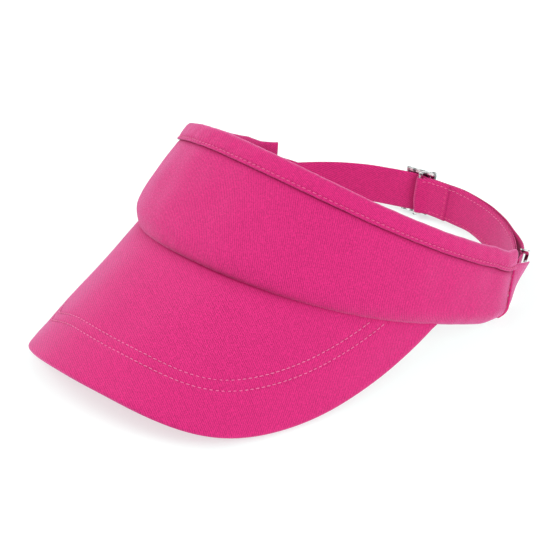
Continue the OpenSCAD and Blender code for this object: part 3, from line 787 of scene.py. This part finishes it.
def strap_sheet(name, angles, radius, thickness, half_low, half_top, painted_shade=None, slant=None):
    """Flat woven band bent round the strap's axis, with edges that can pinch in."""
    share = np.linspace(0, 1, 15)[None, :]
    w = -half_low[:, None] * (1 - share) + half_top[:, None] * share
    a = angles[:, None] + 0 * w
    if slant:
        a = a + slant(w, half_top.max()) * ramp(angles, angles[0] + 14, angles[0])[:, None]
    edge = 1 - np.abs(2 * share - 1) ** 8
    half = thickness / 2 * (0.45 + 0.55 * edge)
    wave = 0.10 * soft_noise(a * 1.57, w, 24, 51)
    outer = strap_point(a, radius[:, None] + half + wave, w)
    inner = strap_point(a, radius[:, None] - half + wave, w)
    along = angles * math.pi / 180 * STRAP_R
    # painted shade per row across the strap
    painted_shade_rows = None if painted_shade is None else painted_shade + 0 * w
    return cloth(name, outer, inner, drill_strap, painted_shade_rows, along)


def tail_bow(angle):
    """How far the strap's free end stands off the tab before it enters the end piece."""
    return 2.2 * ramp(angle, 34, 47) * (1 - 0.9 * ramp(angle, 49, 57))


def strap():
    """Strap from the wearer's right end, pinched where it runs through the clasp."""
    angles = np.linspace(-ROOT_ANGLE, TAIL_ANGLE, 261)
    pinch = ramp(angles, -16, -12) * (1 - ramp(angles, -6, 4))
    half = STRAP_W / 2
    half_low = half - 1.6 * pinch + 0.4 * bump_at(angles, -24, 7)
    half_top = half - 0.6 * pinch - 0.2 * bump_at(angles, -24, 9)
    # painted shade on the strap from the clasp to where its tail leaves the tab
    shaded = 0.4 * (ramp(angles, -20, -15.5) * (1 - ramp(angles, 40, 50)))[:, None]
    radius = STRAP_R + tail_bow(angles)
    piece = strap_sheet("strap_webbing", angles, radius, STRAP_T, half_low, half_top, shaded)
    attach(piece, "strap", "drill_inner", "strap")
    w = np.linspace(-half + 2.2, half - 2.2, 200)
    row_angle = TAIL_ANGLE - 4
    face = STRAP_R + STRAP_T / 2 + tail_bow(row_angle) + 0.02
    pts = strap_point(row_angle, face, w)
    nrm = strap_point(row_angle, face + 2, w) - pts
    row = stitches("strap_end_thread", pts, nrm, 2.6, 1.9, 0.2, thread_light)
    attach(row, "strap", "thread_light", "strap_end_stitches")


def tab_slant(w, half):
    """How many degrees the tab's folded end lies further along at height w: its lower corner is pulled in."""
    return 0.9 * ramp(-w / half, 0.1, 1.2)


def round_bar(angles):
    """How far the tab's inner ply and its stitches stand off to clear the clasp's bar."""
    return 2.2 * (1 - ramp(angles, TAB_BAR_ANGLE - 1.5, TAB_BAR_ANGLE + 4.5))


def tab():
    """Tab from the wearer's left end, folded round the clasp's bar and sewn down on its inner face."""
    half = STRAP_W / 2
    angles = np.linspace(TAB_BAR_ANGLE + 0.9, TAB_ROOT_ANGLE, 241)
    gather = 1 - ramp(angles, TAB_BAR_ANGLE + 4, 8)
    half_low = half - 0.8 * gather - 0.6 * bump_at(angles, 10, 6) + 0.9 * bump_at(angles, 25, 6)
    half_top = half + 1.0 * bump_at(angles, 6, 7) - 0.1
    outer_ply = strap_sheet("tab_outer_ply", angles, np.full(angles.shape, TAB_R + 0.5), TAB_PLY,
                            half_low - 0.2, half_top - 0.1, slant=tab_slant)
    attach(outer_ply, "band", "drill_inner", "strap_tab")
    angles = np.linspace(TAB_BAR_ANGLE - 0.2, TAB_ROOT_ANGLE, 241)
    past_fold = ramp(angles, TAB_FOLD_TO, TAB_FOLD_TO + 0.8)
    radius = TAB_R - 0.5 - 0.1 * (1 - past_fold) - round_bar(angles)
    # painted shade along the fold line of the inner ply
    painted_shade = 0.45 * bump_at(angles, TAB_FOLD_TO + 0.5, 0.5) + 0.12 * bump_at(angles, TAB_FOLD_TO + 2, 2.5)
    inner_ply = strap_sheet("tab_inner_ply", angles, radius, TAB_PLY,
                            half_low - 0.5 * past_fold + 0.1, half_top - 0.05, painted_shade[:, None], tab_slant)
    attach(inner_ply, "band", "drill_inner")
    attach(fold_loop(half - 0.8, half), "band", "drill_inner")
    runs = []
    for w, thread in ((half - 1.5, thread_light), (-half + 2.4, thread_pink)):
        a = np.linspace(TAB_BAR_ANGLE + 1.2, TAB_ROOT_ANGLE - 4, 1200)
        runs.append((a, w + 0.12 * soft_noise(a, 0 * a, 7, 81), thread))
    w = np.linspace(-half + 2.6, half - 2.2, 200)
    runs.append((np.full(w.shape, TAB_FOLD_TO - 0.8), w, thread_pink))
    for i, (a, w, thread) in enumerate(runs):
        face = TAB_R - 1.0 - round_bar(a)
        pts = strap_point(a, face, w)
        nrm = strap_point(a, face - 2, w) - pts
        row = stitches(f"tab_thread_{i}", pts, nrm, 2.7, 1.9, 0.2, thread, 0.0, 0.08)
        attach(row, "band", "thread_light", *(("tab_stitches",) if i == 0 else ()))


def fold_loop(low, top):
    """The end of the tab where it turns round the clasp's bar."""
    centre_r = STRAP_R - STRAP_T / 2 - STRAP_GAP - 2.05
    turn = np.radians(np.linspace(-96, 96, 25))[:, None]
    outside, inside = 1.93, 1.16
    w = np.linspace(-low, top, 25)
    taper = 1 - 0.12 * np.abs(w / top) ** 6
    a = np.radians(TAB_BAR_ANGLE)
    across = turn_x(np.array([math.cos(a), -math.sin(a), 0.0]), -STRAP_TILT)
    out = turn_x(np.array([math.sin(a), math.cos(a), 0.0]), -STRAP_TILT)
    lengths = outside * turn[:, 0] - 26
    loops, uvs = [], []
    for k, wk in enumerate(w):
        base = strap_point(TAB_BAR_ANGLE + tab_slant(wk, top), centre_r, wk)
        rings = [base - across * r * np.cos(turn) + out * r * np.sin(turn)
                 for r in (outside * taper[k], inside)]
        loops.append(np.concatenate([rings[0], rings[1][::-1]]))
        row = [(q, wk) for q in np.concatenate([lengths, lengths[::-1]])]
        uvs.append(row + row[:1])
    return swept("tab_fold", np.array(loops), np.array(uvs), drill_strap)


# ---------------------------------------------------------------- end pieces


def three_point(k, s):
    """Curve through three points at shares 0, 0.5 and 1."""
    k = np.array(k, float)
    s = np.asarray(s, float)[:, None]
    return k[0] * (1 - s) * (1 - 2 * s) + k[1] * 4 * s * (1 - s) + k[2] * s * (2 * s - 1)


def end_piece(side, name, node):
    """Cloth that closes the band's end round the strap: two walls joined along the bottom."""
    seam = BAND_END + 0.5
    s = np.linspace(0, 1, 24)
    u = np.linspace(0, 1, 33)[:, None]
    mouth = three_point(LEFT_MOUTH if side > 0 else RIGHT_MOUTH, s)
    inner_r = TAB_R - TAB_T / 2 - 0.9 if side > 0 else STRAP_R - STRAP_T / 2 - 0.4
    low, high = low_h(seam) + 0.2, top_h(seam) - 7.5
    seam_t = leaned(seam, s * (high - low) / (top_h(seam) - low))

    def wall(at_seam, at_mouth):
        return at_seam[None] * (1 - u[..., None]) + at_mouth[None] * u[..., None]

    bow = 0.8 * np.sin(math.pi * u)
    ripple = 0.18 * soft_noise(u * 14, s[None] * 30, 13, 61) * np.sin(math.pi * u)
    off_strap = unit(strap_point(mouth[:, 0], STRAP_R + 10, mouth[:, 2])
                     - strap_point(mouth[:, 0], STRAP_R, mouth[:, 2]))
    outer_wall = wall(band_point(seam_t, low + (high - low) * s, 0.5),
                      strap_point(mouth[:, 0], STRAP_R + mouth[:, 1], mouth[:, 2]))
    outer_wall = outer_wall + (bow + ripple)[..., None] * off_strap[None]
    inner_wall = wall(band_point(seam_t, low + (high - low) * s, -7.0),
                      strap_point(INNER_MOUTH_ANGLE, inner_r, -11.0 + 20 * s))
    bottom = (outer_wall[:, 0] + inner_wall[:, 0]) / 2 - [0, 0, 0.4]
    sheet = np.concatenate([inner_wall[:, ::-1], bottom[:, None], outer_wall], 1)
    normal = unit(np.cross(np.gradient(sheet, axis=1), np.gradient(sheet, axis=0)))
    if ((sheet[:, -3] - sheet.mean((0, 1))) * normal[:, -3]).sum() < 0:
        normal = -normal
    outer, inner = sheet, sheet - normal * 0.75
    if side < 0:
        outer, inner = outer[::-1] * [-1, 1, 1], inner[::-1] * [-1, 1, 1]
    near_seam = np.broadcast_to(u if side > 0 else u[::-1], sheet.shape[:2])
    # painted shade on the end piece next to its seam with the band
    piece = cloth(name, outer, inner, drill, 0.6 * bump_at(near_seam * 16, 0, 1.0))
    attach(piece, "band", "drill", node)


def end_fold(side):
    """Turned edge of the panel where the end piece is sewn on, a narrow raised fold."""
    t = BAND_END * side
    h = np.linspace(low_h(t) + 0.2, top_h(t) - 1.2, 90)
    turn = np.linspace(0, 2 * math.pi, 15)[:-1]
    fold_r = 0.62
    sway = 0.12 * soft_noise(h, 0 * h, 9, 71)
    loops = []
    share = (h - low_h(t)) / (top_h(t) - low_h(t))
    line = leaned(t, share)
    for k, hk in enumerate(h):
        ring_t = line[k] + side * (0.25 + fold_r * np.cos(turn) + 0.15 * sway[k])
        loops.append(band_point(ring_t, hk, 0.35 + fold_r * np.sin(turn) + sway[k]))
    loops = np.array(loops)
    if side < 0:
        loops = loops[:, ::-1]
    girth = np.linspace(0, 4, 15)
    uvs = np.stack(np.broadcast_arrays(girth[None, :] + 3, h[:, None]), -1)
    attach(swept("left_end_fold" if side > 0 else "right_end_fold", loops, uvs, drill), "band", "drill")


def end_rows(side, name, node):
    """Row of stitches beside the seam of an end piece."""
    t = (BAND_END - 1.9) * side
    h = np.linspace(low_h(t) + 1.5, top_h(t) - BINDING_W - 1.5, 300)
    line = leaned(t, (h - low_h(t)) / (top_h(t) - low_h(t)))
    pts = band_point(line, h, 0.05)
    nrm = band_point(line, h, 2.0) - pts
    attach(stitches(name, pts, nrm, 2.7, 2.0, 0.2, thread_pink), "band", "thread_light", node)


# ---------------------------------------------------------------- metal


def metal():
    """Nickel and soft edges for the CAD nodes of the clasp and the hook."""
    for node in ("clasp_frame", "clasp_pin", "clasp_lever", "keeper_clip"):
        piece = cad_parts[node]
        piece.data.materials.clear()
        piece.data.materials.append(nickel)
        soft = piece.modifiers.new("soft_edges", "BEVEL")
        soft.width = 0.00022
        soft.segments = 3
        soft.limit_method = "ANGLE"
        soft.angle_limit = math.radians(35)
        soft.harden_normals = False


# ---------------------------------------------------------------- camera, light, floor

# Camera in the drawing's place: its turn in degrees, distance and shifts in mm, and lens
VIEW_AZIMUTH, VIEW_ELEVATION, VIEW_DISTANCE = 43.649, 30.064, 1700.0
VIEW_SIDE, VIEW_UP, VIEW_LENS = -30.611, 1.027, 208.15


def camera():
    """Camera in front of the wearer's left, looking down."""
    a, e = math.radians(VIEW_AZIMUTH), math.radians(VIEW_ELEVATION)
    right = np.array([math.cos(a), math.sin(a), 0])
    back = np.array([math.sin(a) * math.cos(e), -math.cos(a) * math.cos(e), math.sin(e)])
    up = np.cross(back, right)
    where = VIEW_SIDE * right + VIEW_UP * up + VIEW_DISTANCE * back
    axes = [turn_x(v, REST_PITCH) for v in (right, up, back)]
    data = bpy.data.cameras.new("camera")
    data.lens = VIEW_LENS
    data.sensor_width = 36
    data.clip_end = 20
    cam = bpy.data.objects.new("camera", data)
    bpy.context.scene.collection.objects.link(cam)
    turn = Matrix([[axes[c][r] for c in range(3)] for r in range(3)]).to_4x4()
    cam.matrix_world = Matrix.Translation(Vector(place(where))) @ turn
    bpy.context.scene.camera = cam


def lamp(name, place_at, size, power):
    """Soft rectangular lamp turned towards the band."""
    data = bpy.data.lights.new(name, "AREA")
    data.shape = "RECTANGLE"
    data.size, data.size_y = size
    data.energy = power
    light = bpy.data.objects.new(name, data)
    bpy.context.scene.collection.objects.link(light)
    light.location = place_at
    light.rotation_euler = (Vector((0, 0, 0.05)) - Vector(place_at)).to_track_quat("-Z", "Y").to_euler()


def surroundings():
    """White room with dark bands in it, which the metal mirrors."""
    world = bpy.data.worlds.new("studio")
    world.use_nodes = True
    tree = world.node_tree
    background = tree.nodes["Background"]
    background.inputs[1].default_value = 0.98
    where = tree.nodes.new("ShaderNodeTexCoord")
    flags = tree.nodes.new("ShaderNodeTexWave")
    flags.bands_direction = "Z"
    flags.inputs["Scale"].default_value = 1.3
    flags.inputs["Distortion"].default_value = 1.2
    flags.inputs["Detail"].default_value = 0
    steps = tree.nodes.new("ShaderNodeValToRGB")
    dark, white = steps.color_ramp.elements
    dark.position, dark.color = 0.18, (0.01, 0.01, 0.012, 1)
    white.position, white.color = 0.3, (1, 1, 1, 1)
    tree.links.new(where.outputs["Generated"], flags.inputs["Vector"])
    tree.links.new(flags.outputs["Fac"], steps.inputs[0])
    tree.links.new(steps.outputs[0], background.inputs[0])
    return world


def studio():
    """Plain pale floor with a little light of its own, the room and three soft lamps."""
    scene = bpy.context.scene
    scene.view_settings.view_transform = "Standard"
    scene.view_settings.look = "None"
    scene.world = surroundings()
    mesh = bpy.data.meshes.new("floor")
    half = 3.0
    corners = [(-half, -half, 0), (half, -half, 0), (half, half, 0), (-half, half, 0)]
    mesh.from_pydata(corners, [], [(0, 1, 2, 3)])
    floor = bpy.data.objects.new("floor", mesh)
    scene.collection.objects.link(floor)
    n = Nodes("floor_paper")
    n.set("Base Color", (0.42, 0.52, 0.49, 1))
    n.set("Roughness", 0.9)
    n.set("Specular IOR Level", 0.05)
    n.set("Emission Color", (1, 1, 1, 1))
    n.set("Emission Strength", 0.57)
    mesh.materials.append(n.material)
    lamp("key_left", (-1.1, -0.7, 0.9), (1.0, 0.9), 15)
    lamp("fill_right", (1.2, -0.2, 0.7), (0.9, 0.9), 12)
    lamp("top_soft", (0.1, 0.2, 1.5), (1.6, 1.6), 5)


panel()
panel_lining()
binding()
sweatband()
brim()
strap()
tab()
end_piece(1, "left_end_cloth", "left_end_piece")
end_piece(-1, "right_end_cloth", "right_end_piece")
end_fold(1)
end_fold(-1)
end_rows(1, "left_end_thread", "left_end_stitches")
end_rows(-1, "right_end_thread", "right_end_stitches")
metal()
camera()
studio()
